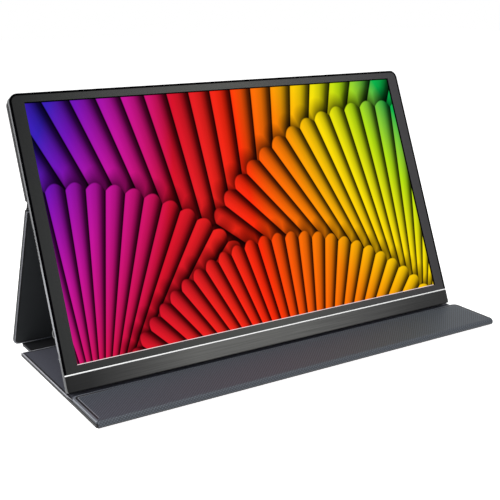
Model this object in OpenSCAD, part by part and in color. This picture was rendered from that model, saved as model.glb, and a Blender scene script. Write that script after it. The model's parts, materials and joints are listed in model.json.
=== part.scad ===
// Portable monitor standing in its folding cover, in millimetres.
// X runs along the screen, Y from front to back and Z up. The origin is the middle of
// the base panel's underside, which lies on the table.
// The monitor leans back on a leg panel. The front part of the cover lies under it, and
// its folded front flap stops the monitor's foot from sliding forward.

/* [Monitor] */
// Width of the bezel at each side of the picture
side_bezel = 10.9; // [9:0.1:22]
// Height of the bezel above the picture
top_bezel = 6.9; // [6:0.1:18]
// Thickness of the thin upper part
upper_t = 6.8; // [6.8:0.1:7.6]
// Thickness of the lower part, which holds the electronics
lower_t = 10.5; // [10.3:0.1:12]
// Height over which the back goes from one thickness to the other
ramp_len = 23; // [15:0.5:30]
// Corner radius of the outline at the top
corner_r = 6.5; // [2:0.5:8]
// Corner radius of the outline at the foot
foot_corner_r = 2; // [2:0.5:3]
// Radius of the rounded rear edge that the monitor stands on
foot_r = 4; // [2.5:0.5:4.5]
// How far the side walls curve in towards the back
side_round = 3; // [1:0.5:3.5]
// Thickness of the housing's side walls
wall = 1.6; // [1.2:0.1:1.8]
// Thickness of the housing's back
back_wall = 1.2; // [0.9:0.1:1.4]

/* [Screen] */
// Width of the picture
screen_w = 344.2; // [330:0.1:346]
// Height of the picture
screen_h = 193.6; // [186:0.1:194.4]
// Lower edge of the picture above the monitor's foot
screen_low = 18.5; // [18.5:0.1:19.3]
// Height of the brushed strip below the screen
chin_h = 12; // [9:0.5:12]
// Height of the bright line above that strip
accent_h = 1.1; // [0.8:0.1:1.4]
// How far the bright line stands proud
accent_proud = 0.15; // [0.05:0.05:0.3]
// Thickness of the bezel in front of the glass
bezel_t = 1; // [0.8:0.1:1.1]
// Border of the display glass beyond the picture, at the sides and top
glass_border = 3; // [2:0.1:3]
// Border of the display glass below the picture
glass_foot = 6; // [4:0.1:6]
// Thickness of the display glass
glass_t = 1.1; // [0.9:0.1:1.2]
// Thickness of the diffuser films
film_t = 0.5; // [0.3:0.1:0.6]
// Thickness of the light guide
guide_t = 1.2; // [0.9:0.1:1.3]
// Thickness of the reflector sheet
reflector_t = 0.2; // [0.1:0.05:0.25]
// Sheet thickness of the tray round the backlight
tray_t = 0.5; // [0.4:0.05:0.55]

/* [Ports and buttons] */
// Height of the menu rocker above the foot
rocker_s = 43.4; // [42:0.1:48]
// Length of the menu rocker
rocker_len = 6.4; // [5.5:0.1:7.5]
// Width of the menu rocker
rocker_w = 2.6; // [2.2:0.1:3]
// How far the rocker stands out of the side
rocker_proud = 0.8; // [0.6:0.1:1.2]
// Pressing travel of the rocker and the power button
press = 0.4; // [0.2:0.05:0.5]
// Height of the headphone socket above the foot
jack_s = 29; // [29:0.1:32]
// Bore of the headphone socket
jack_bore = 3.6; // [3.5:0.05:3.7]
// Height of the status light above the foot
light_s = 25.2; // [18:0.1:25.2]
// Height of the power button above the foot
power_s = 6.7; // [6.5:0.1:8]
// Length of the power button
power_len = 4.5; // [3.5:0.1:5]
// Heights of the two small power and video sockets above the foot
usb_s = [26, 41]; // [20:0.5:50]
// Height of the wide video socket above the foot
hdmi_s = 58; // [54:0.5:62]
// How far the middle of the speaker slots lies below the thin part of the back
grille_drop = 31.2; // [31:0.2:50]
// Number of speaker slots on each side
grille_count = 11; // [7:1:11]
// Distance between the speaker slots
grille_pitch = 2.45; // [2.2:0.05:2.5]

/* [Cover] */
// How far the cover reaches past the monitor on the right; on the left they are flush
cover_extra = 4; // [0:0.5:8]
// Thickness of each cover panel
panel_t = 2.6; // [2.4:0.1:3.2]
// Thickness of each leather layer
skin_t = 0.6; // [0.4:0.05:0.7]
// Width of leather pressed together round each stiff board
edge_w = 1.5; // [1:0.1:2.5]
// Thickness of the leather at a crease
crease_t = 1.1; // [0.8:0.1:1.3]
// Corner radius of the panels
panel_r = 5; // [3:0.5:12]
// Corner radius of the base panel at the rear
base_r = 1.5; // [1:0.5:8]
// How far the narrow rear strip stops short of the panels at each side
notch = 8.3; // [5:0.1:12]

/* [Stand] */
// Depth of the base panel
base_depth = 150; // [140:1:170]
// Length of the front flap, folded back on the base
flap_len = 47; // [40:0.5:55]
// Distance from the base's rear edge to the leg's hinge line
rear_gap = 19; // [17:0.5:24]
// Angle of the monitor from vertical
lean = 23.5; // [20:0.5:27]
// Height of the cover's crease up the monitor's back
crease_h = 136.2; // [130:0.1:142]
// Gap between the flap's free edge and the monitor's front face
stop_gap = 4; // [1:0.5:6]
// Gap between the two layers of the folded flap
fold_gap = 0.3; // [0.2:0.05:0.5]
// Gap between the monitor's foot and the base panel
rest_gap = 0.3; // [0.3:0.05:0.6]
// Gap between the monitor's back and the leg panel when they lie flat together
stack_gap = 0.3; // [0.3:0.05:0.6]

/* [Hidden] */
$fn = 48;

// Small clearances
fit = 0.1;          // between a part and the pocket that it drops into
slot_gap = 0.3;     // round a button in the housing
seam = 0.05;        // between a crease and the panel that turns on it
eps = 0.01;         // past a face that is cut through

monitor_w = screen_w + 2 * side_bezel;
monitor_h = screen_low + screen_h + top_bezel;
cover_w = monitor_w + cover_extra;
monitor_x = -cover_extra / 2;

// Where the monitor stands: foot_y, foot_z is the lower front edge
foot_y = -base_depth / 2 + flap_len + stop_gap;
foot_z = panel_t + rest_gap + foot_r - foot_r * cos(lean) + (lower_t - foot_r) * sin(lean);

// Side view of the fold: K is the crease behind the monitor, L the leg's lower hinge.
// K is as far behind the monitor as the leg's middle when the two lie flat together.
crease_b = lower_t + stack_gap + panel_t / 2;
upper_b = upper_t + panel_t / 2;
k_y = foot_y + crease_h * sin(lean) + crease_b * cos(lean);
k_z = foot_z + crease_h * cos(lean) - crease_b * sin(lean);
l_y = base_depth / 2 + rear_gap;
l_z = panel_t / 2;
leg_run = norm([k_y - l_y, k_z - l_z]);
leg_angle = atan2(k_z - l_z, k_y - l_y);
crease_angle = leg_angle - (90 - lean);

// Panels, as distances from their hinge lines
fold_r = panel_t + fold_gap / 2;         // outer radius of the folded front edge
fold_y = -base_depth / 2 + fold_r;       // hinge line of the front fold
strip_start = 2.4;                       // crease between the base and the rear strip
hinge_side = 2.2;                        // from the leg's hinge line to the rear strip
leg_start = 2.6;                         // from the leg's hinge line to the leg panel
leg_stop = 1;                            // from the leg panel's top to the upper crease
upper_start = 4.8;                       // from the upper crease to the upper panel
upper_margin = 2;                        // the upper panel's top below the monitor's top
strip_len = rear_gap - strip_start - hinge_side;
strip_w = cover_w - 2 * notch;
leg_len = leg_run - leg_stop - leg_start;
upper_low = crease_h + upper_start;
upper_len = monitor_h - upper_margin - upper_low;
base_len = base_depth - fold_r;
flap_run = flap_len - fold_r;

// Depths inside the monitor, measured back from its front face
glass_b = bezel_t;
film_b = glass_b + glass_t;
guide_b = film_b + film_t;
reflector_b = guide_b + guide_t;
tray_b = reflector_b + reflector_t;
tray_back = tray_b + tray_t;
board_t = 1;
boss_h = 0.6;
board_b = lower_t - back_wall - boss_h - board_t;
side_straight = 3;                       // depth at which the side walls start to curve
top_r = 2;                               // rounding of the top rear edge
ramp_high = upper_low - 2;
grille_s = ramp_high - grille_drop;      // middle of the speaker slots above the foot
rim_t = 0.8;
rim_r = corner_r - wall + 0.3;           // corner radius of the bezel's rim
rim_depth = 1.4;
chin_r = 0.8;                            // rounding of the foot's front edge
bezel_low = chin_h + accent_h;

// The glass and the backlight behind it
glass_w = screen_w + 2 * glass_border;
glass_low = screen_low - glass_foot;
glass_high = screen_low + screen_h + glass_border;

// Sockets
usb_size = [8.94, 3.16];
usb_depth = 7.35;
hdmi_size = [11.2, 3.2];
hdmi_depth = 7.5;
shell_t = 0.3;
usb_b = board_b - usb_size[1] / 2;
hdmi_b = board_b - hdmi_size[1] / 2;
jack_nose_r = 2.4;
jack_depth = 12;
jack_body = [11, 4.1, 5.6];
jack_b = tray_back + fit / 2 + jack_body[1] / 2;
button_b = 6.2;
power_w = 2;
light_r = 0.5;
light_len = 4.5;
pin_r = 0.55;
pivot_r = 1.3;
pivot_in = 2.6;                          // rocker's pivot behind the housing's side
switch_in = 8.2;                         // switches behind the housing's side
grille_b = 5.4;
slot_len = 4.6;
slot_w = 1.1;
slot_tilt = 38;
speaker_size = [12, 26, 3.2];
speaker_in = 1.2;                        // speaker behind the side wall
screw_r = 0.95;
screw_head_r = 1.9;
screw_head_h = 0.7;
board_size = [96, 60];
board_low = 12.6;
board_notch = [16, 30];
// chips and the display connector, the last one: place, size and height on the board
chips = [[40, 24, 16, 16, 1.2], [62, 12, 8, 6, 0.9], [22, 5, 32, 4, 1]];
connector = chips[len(chips) - 1];
coil_count = 4;
coil_at = [26, 49];
coil_pitch = 9;
coil_r = 2.8;
coil_h = 1.8;
display_cable_w = 28;
cable_t = 0.24;
control_cable_w = 6;
control_cable_low = 6;
cable_lap = 8;
board_holes = [[6, 5], [90, 5], [22, 55], [78, 55]];
driver_x = monitor_w / 2 - wall - side_round - 0.4 - board_size[0];
control_size = [15, 48];
control_in = 1.4;                        // control board behind the side wall
control_low = 3.2;

// ---------------------------------------------------------------- helper shapes

function arc(cx, cy, r, a0, a1, n = 8) =
    [for (i = [0:n]) let (a = a0 + (a1 - a0) * i / n) [cx + r * cos(a), cy + r * sin(a)]];

function smooth(t) = t * t * (3 - 2 * t);

function unit(v) = v / norm(v);

function reversed(p) = [for (i = [len(p) - 1:-1:0]) p[i]];

// One side of a strip that bends from p0 to p2, with both end tangents through p1
function bend_side(p0, p1, p2, side, n = 10) = [
    for (i = [0:n])
        let (
            t = i / n,
            d = unit((1 - t) * (p1 - p0) + t * (p2 - p1))
        )
        (1 - t) * (1 - t) * p0 + 2 * t * (1 - t) * p1 + t * t * p2 + side * [-d[1], d[0]]
];

module bend(p0, p1, p2, t)
{
    polygon(concat(bend_side(p0, p1, p2, t / 2), reversed(bend_side(p0, p1, p2, -t / 2))));
}

// 2D (y, z) shapes run along X
module along_x(w)
{
    rotate([90, 0, 90])
        linear_extrude(w, center = true)
            children();
}

// 2D (x, z) shapes run back from y0 to y1
module along_y(y0, y1)
{
    translate([0, y1, 0])
        rotate([90, 0, 0])
            linear_extrude(y1 - y0)
                children();
}

// Rectangle of width w and height len, with corner radius r0 at the start and r1 at the end
module outline(w, len, r0, r1)
{
    translate([-w / 2, r0])
        square([w, len - r0 - r1]);
    translate([-w / 2 + r0, 0])
        square([w - 2 * r0, r0 + eps]);
    translate([-w / 2 + r1, len - r1 - eps])
        square([w - 2 * r1, r1 + eps]);
    for (side = [-1, 1]) {
        translate([side * (w / 2 - r0), r0])
            circle(r0);
        translate([side * (w / 2 - r1), len - r1])
            circle(r1);
    }
}

module stadium(w, h)
{
    square([w - h, h], center = true);
    for (side = [-1, 1])
        translate([side * (w - h) / 2, 0])
            circle(h / 2);
}

// ---------------------------------------------------------------- places

module in_monitor()
{
    translate([monitor_x, foot_y, foot_z])
        rotate([-lean, 0, 0])
            children();
}

module on_upper()
{
    translate([0, foot_y, foot_z])
        rotate([-lean, 0, 0])
            translate([0, upper_t + panel_t, upper_low])
                rotate([90, 0, 0])
                    children();
}

module on_leg()
{
    translate([0, l_y, l_z])
        rotate([leg_angle, 0, 0])
            translate([0, leg_start, -l_z])
                children();
}

module on_strip()
{
    translate([0, base_depth / 2 + strip_start, 0])
        children();
}

module on_base()
{
    translate([0, fold_y, 0])
        children();
}

module on_flap()
{
    translate([0, fold_y, 2 * panel_t + fold_gap])
        rotate([0, 180, 0])
            children();
}

// ---------------------------------------------------------------- cover panels

// Every panel is drawn flat, outer face down, from y = 0. r0 and r1 are its corner radii.

module panel_skin(w, len, r0, r1)
{
    color("#54545a")
        difference() {
            linear_extrude(panel_t - skin_t)
                outline(w, len, r0, r1);
            translate([0, edge_w, skin_t])
                linear_extrude(panel_t)
                    outline(w - 2 * edge_w, len - 2 * edge_w,
                        max(r0 - edge_w, 0.5), max(r1 - edge_w, 0.5));
        }
}

module panel_board(w, len, r0, r1)
{
    color("#8a8478")
        translate([0, edge_w, skin_t])
            linear_extrude(panel_t - 2 * skin_t)
                outline(w - 2 * edge_w, len - 2 * edge_w,
                    max(r0 - edge_w, 0.5), max(r1 - edge_w, 0.5));
}

module panel_lining(w, len, r0, r1)
{
    color("#45454c")
        translate([0, 0, panel_t - skin_t])
            linear_extrude(skin_t)
                outline(w, len, r0, r1);
}

square_r = 1;

module base_skin() { on_base() panel_skin(cover_w, base_len, square_r, base_r); }
module base_board() { on_base() panel_board(cover_w, base_len, square_r, base_r); }
module base_lining() { on_base() panel_lining(cover_w, base_len, square_r, base_r); }

module flap_skin() { on_flap() panel_skin(cover_w, flap_run, square_r, panel_r); }
module flap_board() { on_flap() panel_board(cover_w, flap_run, square_r, panel_r); }
module flap_lining() { on_flap() panel_lining(cover_w, flap_run, square_r, panel_r); }

module strip_skin() { on_strip() panel_skin(strip_w, strip_len, square_r, square_r); }
module strip_board() { on_strip() panel_board(strip_w, strip_len, square_r, square_r); }
module strip_lining() { on_strip() panel_lining(strip_w, strip_len, square_r, square_r); }

module leg_skin() { on_leg() panel_skin(cover_w, leg_len, panel_r, square_r); }
module leg_board() { on_leg() panel_board(cover_w, leg_len, panel_r, square_r); }
module leg_lining() { on_leg() panel_lining(cover_w, leg_len, panel_r, square_r); }

module upper_skin() { on_upper() panel_skin(cover_w, upper_len, square_r, panel_r); }
module upper_lining() { on_upper() panel_lining(cover_w, upper_len, square_r, panel_r); }

// Two rows of disc magnets hold the cover on the steel strip inside the monitor
magnet_r = 6;
magnet_count = 5;
magnet_top = 30;                         // upper row below the panel's free edge
magnet_pitch = 22;
magnet_rows = [upper_len - magnet_top - magnet_pitch, upper_len - magnet_top];

module magnet_places()
{
    for (i = [0:magnet_count - 1], row = magnet_rows)
        translate([(i - (magnet_count - 1) / 2) * cover_w / (magnet_count + 1), row, skin_t])
            children();
}

module upper_board()
{
    difference() {
        on_upper()
            panel_board(cover_w, upper_len, square_r, panel_r);
        on_upper()
            magnet_places()
                translate([0, 0, -eps])
                    cylinder(r = magnet_r + fit, h = panel_t);
    }
}

module cover_magnets()
{
    color("silver")
        on_upper()
            magnet_places()
                cylinder(r = magnet_r, h = panel_t - 2 * skin_t);
}

// ---------------------------------------------------------------- creases

module crease(w)
{
    color("#4c4c52")
        along_x(w)
            children();
}

// Leather round the outside of the front fold, from the base panel to the flap
module front_crease()
{
    crease(cover_w - 2 * square_r)
        polygon(concat(
            arc(fold_y, fold_r, fold_r, 270, 90, 16),
            arc(fold_y, fold_r, fold_r - crease_t, 90, 270, 16)
        ));
}

// Flat leather between the base panel and the rear strip
module base_crease()
{
    crease(strip_w)
        translate([base_depth / 2, (panel_t - crease_t) / 2])
            square([strip_start, crease_t]);
}

// Leather bent up from the rear strip to the leg
leg_dir = [cos(leg_angle), sin(leg_angle)];

module leg_crease()
{
    crease(strip_w)
        bend([l_y - hinge_side, l_z], [l_y, l_z], [l_y, l_z] + (leg_start - seam) * leg_dir,
            crease_t);
}

// Leather from the leg's top edge to the upper panel, bent where their middles meet
leg_end = [l_y, l_z] + (leg_run - leg_stop) * leg_dir;
meet = leg_stop + (crease_b - upper_b) / sin(crease_angle);
upper_end = [
    foot_y + (upper_low - seam) * sin(lean) + upper_b * cos(lean),
    foot_z + (upper_low - seam) * cos(lean) - upper_b * sin(lean)
];

module upper_crease()
{
    crease(cover_w - 2 * square_r)
        bend(leg_end, leg_end + meet * leg_dir, upper_end, crease_t);
}

// ---------------------------------------------------------------- rear housing

function side_x(b) = monitor_w / 2
    - side_round * pow(max(0, b - side_straight) / (lower_t - side_straight), 2);

// Side view of the back: thin above, thick below, round at the foot
function back_profile(inset, back, front) = concat(
    [[front, inset], [front, monitor_h - inset]],
    arc(upper_t - top_r, monitor_h - inset - top_r + back, top_r - back, 90, 0, 4),
    [for (i = [0:8]) let (t = i / 8)
        [upper_t + (lower_t - upper_t) * smooth(t) - back, ramp_high - ramp_len * t]],
    arc(lower_t - foot_r, inset + foot_r - back, foot_r - back, 0, -90, 8)
);

// View from above: side walls that curve in towards the back
function plan_side(inset, front) = concat(
    [[monitor_w / 2 - inset, front]],
    [for (i = [0:7]) let (b = side_straight + (lower_t - side_straight) * i / 7)
        [side_x(b) - inset, b]]
);

function plan_profile(inset, front) = concat(
    plan_side(inset, front),
    [for (p = reversed(plan_side(inset, front))) [-p[0], p[1]]]
);

module housing_form(inset, back, front)
{
    intersection() {
        along_y(front, lower_t)
            translate([0, inset])
                outline(monitor_w - 2 * inset, monitor_h - 2 * inset,
                    foot_corner_r - inset * 0.9, corner_r - inset * 0.9);
        along_x(monitor_w)
            polygon(back_profile(inset, back, front));
        linear_extrude(monitor_h)
            polygon(plan_profile(inset, front));
    }
}

module at_left(b, s)
{
    translate([-monitor_w / 2, b, s])
        rotate([90, 0, 90])
            children();
}

// Slanted sound slots through a side wall
module grille()
{
    for (i = [0:grille_count - 1])
        translate([0, (i - (grille_count - 1) / 2) * grille_pitch])
            rotate(slot_tilt)
                stadium(slot_len, slot_w);
}

module left_cuts()
{
    depth = wall + side_round;
    at_left(0, 0)
        translate([0, 0, -eps])
            linear_extrude(depth) {
                translate([grille_b, grille_s])
                    grille();
                translate([button_b, rocker_s])
                    rotate(90)
                        stadium(rocker_len + 2 * slot_gap, rocker_w + 2 * slot_gap);
                translate([button_b, power_s])
                    rotate(90)
                        stadium(power_len + 2 * slot_gap, power_w + 2 * slot_gap);
            }
    at_left(jack_b, jack_s)
        translate([0, 0, -eps])
            cylinder(r = jack_nose_r + fit, h = depth);
    at_left(button_b, light_s)
        translate([0, 0, -eps])
            cylinder(r = light_r + fit, h = depth);
}

module right_cuts()
{
    depth = wall + side_round;
    translate([monitor_w / 2 - depth, 0, 0])
        rotate([90, 0, 90])
            linear_extrude(depth + eps) {
                translate([grille_b, grille_s])
                    grille();
                for (s = usb_s)
                    translate([usb_b, s])
                        rotate(90)
                            stadium(usb_size[0] + 2 * fit, usb_size[1] + 2 * fit);
                translate([hdmi_b, hdmi_s])
                    rotate(90)
                        hdmi_outline(fit);
            }
}

module board_posts()
{
    for (hole = board_holes)
        translate([driver_x + hole[0], 0, board_low + hole[1]])
            along_y(board_b + board_t, lower_t - back_wall + eps)
                circle(2.6);
}

// Ribs inside the back carry the backlight tray
rib_t = 1.2;
rib_count = 5;
rib_pitch = 75;
low_rib = [22, 14];                      // foot of the rib below the upper panel, its height
high_rib = [18, 12];                     // foot of the rib below the monitor's top, its height

module tray_ribs()
{
    for (i = [0:rib_count - 1])
        translate([(i - (rib_count - 1) / 2) * rib_pitch - rib_t / 2, tray_back, 0]) {
            translate([0, 0, upper_low - low_rib[0]])
                cube([rib_t, lower_t, low_rib[1]]);
            translate([0, 0, monitor_h - high_rib[0]])
                cube([rib_t, lower_t, high_rib[1]]);
        }
}

module rear_housing()
{
    color("#8d8f94")
        in_monitor()
            difference() {
                union() {
                    difference() {
                        housing_form(0, 0, bezel_t);
                        housing_form(wall, back_wall, bezel_t - 1);
                    }
                    intersection() {
                        housing_form(wall / 2, back_wall / 2, bezel_t);
                        union() {
                            tray_ribs();
                            board_posts();
                        }
                    }
                }
                left_cuts();
                right_cuts();
                for (hole = board_holes)
                    translate([driver_x + hole[0], 0, board_low + hole[1]])
                        along_y(board_b, lower_t - back_wall / 2)
                            circle(screw_r + 0.05);
            }
}

// ---------------------------------------------------------------- front of the monitor

module front_outline()
{
    outline(monitor_w, monitor_h, foot_corner_r, corner_r);
}

// Frame round the screen, with a rim that drops inside the housing's walls
module front_bezel()
{
    color("#2e2f31")
        in_monitor() {
            along_y(0, bezel_t)
                difference() {
                    front_outline();
                    translate([-monitor_w / 2 - 1, -1])
                        square([monitor_w + 2, bezel_low + 1]);
                    translate([-screen_w / 2, screen_low])
                        square([screen_w, screen_h]);
                }
            along_y(bezel_t - eps, bezel_t + rim_depth)
                difference() {
                    translate([0, wall + fit])
                        outline(monitor_w - 2 * (wall + fit), monitor_h - 2 * (wall + fit), 1,
                            rim_r);
                    translate([0, wall + fit - 1])
                        outline(monitor_w - 2 * (wall + fit + rim_t),
                            monitor_h - 2 * (wall + fit) - rim_t + 1, 0.5,
                            max(rim_r - rim_t, 0.5));
                    translate([-monitor_w / 2, 0])
                        square([monitor_w, bezel_low]);
                }
        }
}

// Brushed strip below the screen, round at its lower edge, with a rib behind it
module chin_trim()
{
    color("#3f4043")
        in_monitor() {
            intersection() {
                along_x(monitor_w)
                    polygon(concat(
                        [[bezel_t, 0], [bezel_t, chin_h], [0, chin_h]],
                        arc(chin_r, chin_r, chin_r, 180, 270, 6)
                    ));
                along_y(-1, lower_t)
                    front_outline();
            }
            along_x(monitor_w - 2 * (wall + fit))
                translate([bezel_t - eps, wall + fit])
                    square([rim_depth, 1]);
        }
}

// Bright line between the strip and the bezel
module accent_line()
{
    color("#e8e8ea")
        in_monitor()
            along_y(-accent_proud, bezel_t)
                translate([-monitor_w / 2 + 0.3, chin_h])
                    square([monitor_w - 0.6, accent_h]);
}

module lcd_panel()
{
    color("#7a2a80")
        in_monitor()
            along_y(glass_b, film_b)
                translate([-glass_w / 2, glass_low])
                    square([glass_w, glass_high - glass_low]);
}

// ---------------------------------------------------------------- backlight

led_h = 2.2;

module backlight_layer(y0, y1, low)
{
    in_monitor()
        along_y(y0, y1)
            translate([-glass_w / 2, low])
                square([glass_w, glass_high - low]);
}

module diffuser_films()
{
    color("#e9ecef")
        backlight_layer(film_b, guide_b, glass_low);
}

module light_guide()
{
    color("#cfe3ee")
        backlight_layer(guide_b, reflector_b, glass_low + led_h);
}

module reflector_sheet()
{
    color("#f4f4f4")
        backlight_layer(reflector_b, tray_b, glass_low);
}

// Strip with a row of light-emitting chips along the guide's lower edge
module led_bar()
{
    led_count = 48;
    led_w = 3.4;
    base_h = 0.8;
    color("#e6d36a")
        in_monitor() {
            along_y(guide_b, reflector_b)
                translate([-glass_w / 2, glass_low])
                    square([glass_w, base_h]);
            for (i = [0:led_count - 1])
                translate([(i - (led_count - 1) / 2) * glass_w / led_count - led_w / 2,
                        guide_b + 0.1, glass_low + base_h - eps])
                    cube([led_w, guide_t - 0.2, led_h - base_h]);
        }
}

// Folded sheet tray behind and round the backlight
module backlight_tray()
{
    grow = fit + tray_t;
    color("#9a9ca0")
        in_monitor()
            difference() {
                along_y(film_b, tray_back)
                    translate([-glass_w / 2 - grow, glass_low - grow])
                        square([glass_w + 2 * grow, glass_high - glass_low + 2 * grow]);
                along_y(film_b - 1, tray_b)
                    translate([-glass_w / 2 - fit, glass_low - fit])
                        square([glass_w + 2 * fit, glass_high - glass_low + 2 * fit]);
            }
}

// ---------------------------------------------------------------- electronics

module driver_board()
{
    color("#1f5a3a")
        in_monitor()
            translate([driver_x, 0, board_low]) {
                along_y(board_b, board_b + board_t)
                    difference() {
                        square(board_size);
                        for (hole = board_holes)
                            translate(hole)
                                circle(screw_r + fit);
                        translate([-eps, board_notch[1]])
                            square([board_notch[0], board_size[1]]);
                    }
                for (c = chips)
                    translate([c[0], board_b - c[4], c[1]])
                        cube([c[2], c[4] + eps, c[3]]);
                for (i = [0:coil_count - 1])
                    translate([coil_at[0] + coil_pitch * i, 0, coil_at[1]])
                        along_y(board_b - coil_h, board_b + eps)
                            circle(coil_r);
            }
}

module board_screws()
{
    color("silver")
        in_monitor()
            for (hole = board_holes)
                translate([driver_x + hole[0], 0, board_low + hole[1]]) {
                    along_y(board_b - screw_head_h, board_b)
                        circle(screw_head_r);
                    along_y(board_b - eps, lower_t - back_wall / 2 - 0.1)
                        circle(screw_r);
                }
}

// Flat cable from the board's connector, round the tray's edge, to the display glass
module display_cable()
{
    start = [board_b - connector[4] - cable_t / 2, board_low + connector[1] + connector[3] / 2];
    dip = [tray_back + cable_t * 2, glass_low - 9];
    stop = [glass_b + glass_t / 2, glass_low];
    color("#b98a3a")
        in_monitor()
            translate([driver_x + connector[0] + connector[2] / 2, 0, 0])
                along_x(display_cable_w)
                    bend(start, dip, stop, cable_t);
}

// Small board behind the left wall, cut out round the headphone socket
module control_board()
{
    x0 = -side_x(board_b + board_t) + wall + control_in;
    color("#1f5a3a")
        in_monitor() {
            along_y(board_b, board_b + board_t)
                difference() {
                    translate([x0, control_low])
                        square(control_size);
                    translate([-monitor_w / 2, jack_s - jack_body[2] / 2 - fit])
                        square([control_size[0], jack_body[2] + 2 * fit]);
                }
            // switches behind the rocker and the power button
            for (s = [rocker_s, power_s])
                translate([-monitor_w / 2 + switch_in, button_b - 1.5, s - 2])
                    cube([4, board_b - button_b + 1.5 + eps, 4]);
            // light source behind the status light
            translate([-monitor_w / 2 + 0.9 + light_len, button_b - 0.6, light_s - 0.7])
                cube([1, board_b - button_b + 0.6 + eps, 1.4]);
        }
}

// Flat cable between the two boards, against their backs
module control_cable()
{
    x0 = -side_x(board_b + board_t) + wall + control_in + control_size[0] - cable_lap;
    color("#d8d8d2")
        in_monitor()
            translate([x0, board_b + board_t, board_low + control_cable_low])
                cube([driver_x + cable_lap / 4 - x0, cable_t, control_cable_w]);
}

module speaker(side)
{
    color("#2a2a2c")
        in_monitor()
            translate([side * (side_x(board_b) - wall - speaker_in - speaker_size[0] / 2), 0, 0])
                difference() {
                    along_y(tray_back + fit, tray_back + fit + speaker_size[2])
                        translate([0, grille_s])
                            rotate(90)
                                stadium(speaker_size[1], speaker_size[0]);
                    along_y(tray_back + fit + speaker_size[2] - 0.6, lower_t)
                        translate([0, grille_s])
                            rotate(90)
                                difference() {
                                    stadium(speaker_size[1] - 3, speaker_size[0] - 3);
                                    stadium(speaker_size[1] - 7, speaker_size[0] - 7);
                                }
                }
}

module left_speaker() { speaker(-1); }
module right_speaker() { speaker(1); }

// Sheet in the upper back that the cover's magnets pull on
module steel_strip()
{
    low = upper_low + magnet_rows[0] - magnet_r - 2;
    high = upper_low + magnet_rows[1] + magnet_r + 2;
    color("#a5a8ab")
        in_monitor()
            along_y(upper_t - back_wall - 0.7, upper_t - back_wall)
                translate([-monitor_w / 2 + 12, low])
                    square([monitor_w - 24, high - low]);
}

// ---------------------------------------------------------------- sockets

// Barrel socket with its bore to the left
module headphone_jack()
{
    nose = side_x(jack_b + jack_nose_r);
    body_x = -side_x(jack_b + jack_body[1] / 2) + wall + fit;
    color("#1b1b1d")
        in_monitor()
            difference() {
                union() {
                    translate([-nose, jack_b, jack_s])
                        rotate([0, 90, 0])
                            cylinder(r = jack_nose_r, h = body_x + nose + 1);
                    translate([body_x, jack_b - jack_body[1] / 2, jack_s - jack_body[2] / 2])
                        cube(jack_body);
                }
                translate([-nose - eps, jack_b, jack_s])
                    rotate([0, 90, 0])
                        cylinder(r = jack_bore / 2, h = jack_depth + eps);
            }
}

module socket_shell(depth, b, s, size)
{
    x = side_x(b + size[1] / 2);
    color("#b9bcc0")
        in_monitor()
            translate([x - depth, b, s])
                rotate([90, 0, 90])
                    rotate(90)
                        children();
}

// Oval socket with a tongue in its middle
module usb_socket(s)
{
    socket_shell(usb_depth, usb_b, s, usb_size) {
        difference() {
            linear_extrude(usb_depth)
                stadium(usb_size[0], usb_size[1]);
            translate([0, 0, 1])
                linear_extrude(usb_depth)
                    stadium(usb_size[0] - 2 * shell_t, usb_size[1] - 2 * shell_t);
        }
        translate([-3.3, -0.35, 1 - eps])
            cube([6.6, 0.7, usb_depth - 2]);
    }
}

module usb_c_socket_lower() { usb_socket(usb_s[0]); }
module usb_c_socket_upper() { usb_socket(usb_s[1]); }

// Wide socket with two slanted corners
module hdmi_outline(grow)
{
    w = hdmi_size[0] / 2 + grow;
    h = hdmi_size[1] / 2 + grow;
    polygon([[-w, -h], [w, -h], [w, 0.3], [w - 1.3, h], [-w + 1.3, h], [-w, 0.3]]);
}

module mini_video_socket()
{
    socket_shell(hdmi_depth, hdmi_b, hdmi_s, hdmi_size) {
        difference() {
            linear_extrude(hdmi_depth)
                hdmi_outline(0);
            translate([0, 0, 1])
                linear_extrude(hdmi_depth)
                    hdmi_outline(-shell_t);
        }
        translate([-4.1, -0.3, 1 - eps])
            cube([8.2, 0.6, hdmi_depth - 2.2]);
    }
}

// ---------------------------------------------------------------- buttons

// Stem that the rocker tilts on, pressed in with it
module menu_switch()
{
    x = -side_x(button_b);
    stem = -monitor_w / 2 + switch_in - press - x - pivot_in;
    color("#5a5c60")
        in_monitor()
            translate([x + pivot_in, button_b, rocker_s]) {
                rotate([90, 0, 0])
                    cylinder(r = pin_r, h = rocker_w, center = true);
                translate([0, -0.4, -0.6])
                    cube([pivot_r + slot_gap + eps, 0.8, 1.2]);
                translate([pivot_r + slot_gap, -0.9, -1.2])
                    cube([stem - pivot_r - slot_gap - fit, 1.8, 2.4]);
            }
}

// Domed rocker with a bore for the stem's pin, and a slot for the stem
module menu_rocker()
{
    x = -side_x(button_b);
    color("#c9cbce")
        in_monitor()
            translate([x, button_b, rocker_s])
                difference() {
                    union() {
                        intersection() {
                            rotate([90, 0, 90])
                                rotate(90)
                                    translate([0, 0, -rocker_proud])
                                        linear_extrude(rocker_proud + pivot_in - 0.9)
                                            stadium(rocker_len, rocker_w);
                            translate([rocker_len - rocker_proud, 0, 0])
                                rotate([90, 0, 0])
                                    cylinder(r = rocker_len, h = rocker_w, center = true, $fn = 96);
                        }
                        translate([pivot_in, 0, 0])
                            rotate([90, 0, 0])
                                cylinder(r = pivot_r, h = rocker_w, center = true);
                    }
                    translate([pivot_in, 0, 0])
                        rotate([90, 0, 0])
                            cylinder(r = pin_r + fit, h = rocker_w + 1, center = true);
                    translate([pivot_in - 0.9, -0.7, -1.5])
                        cube([3, 1.4, 3]);
                }
}

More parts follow.
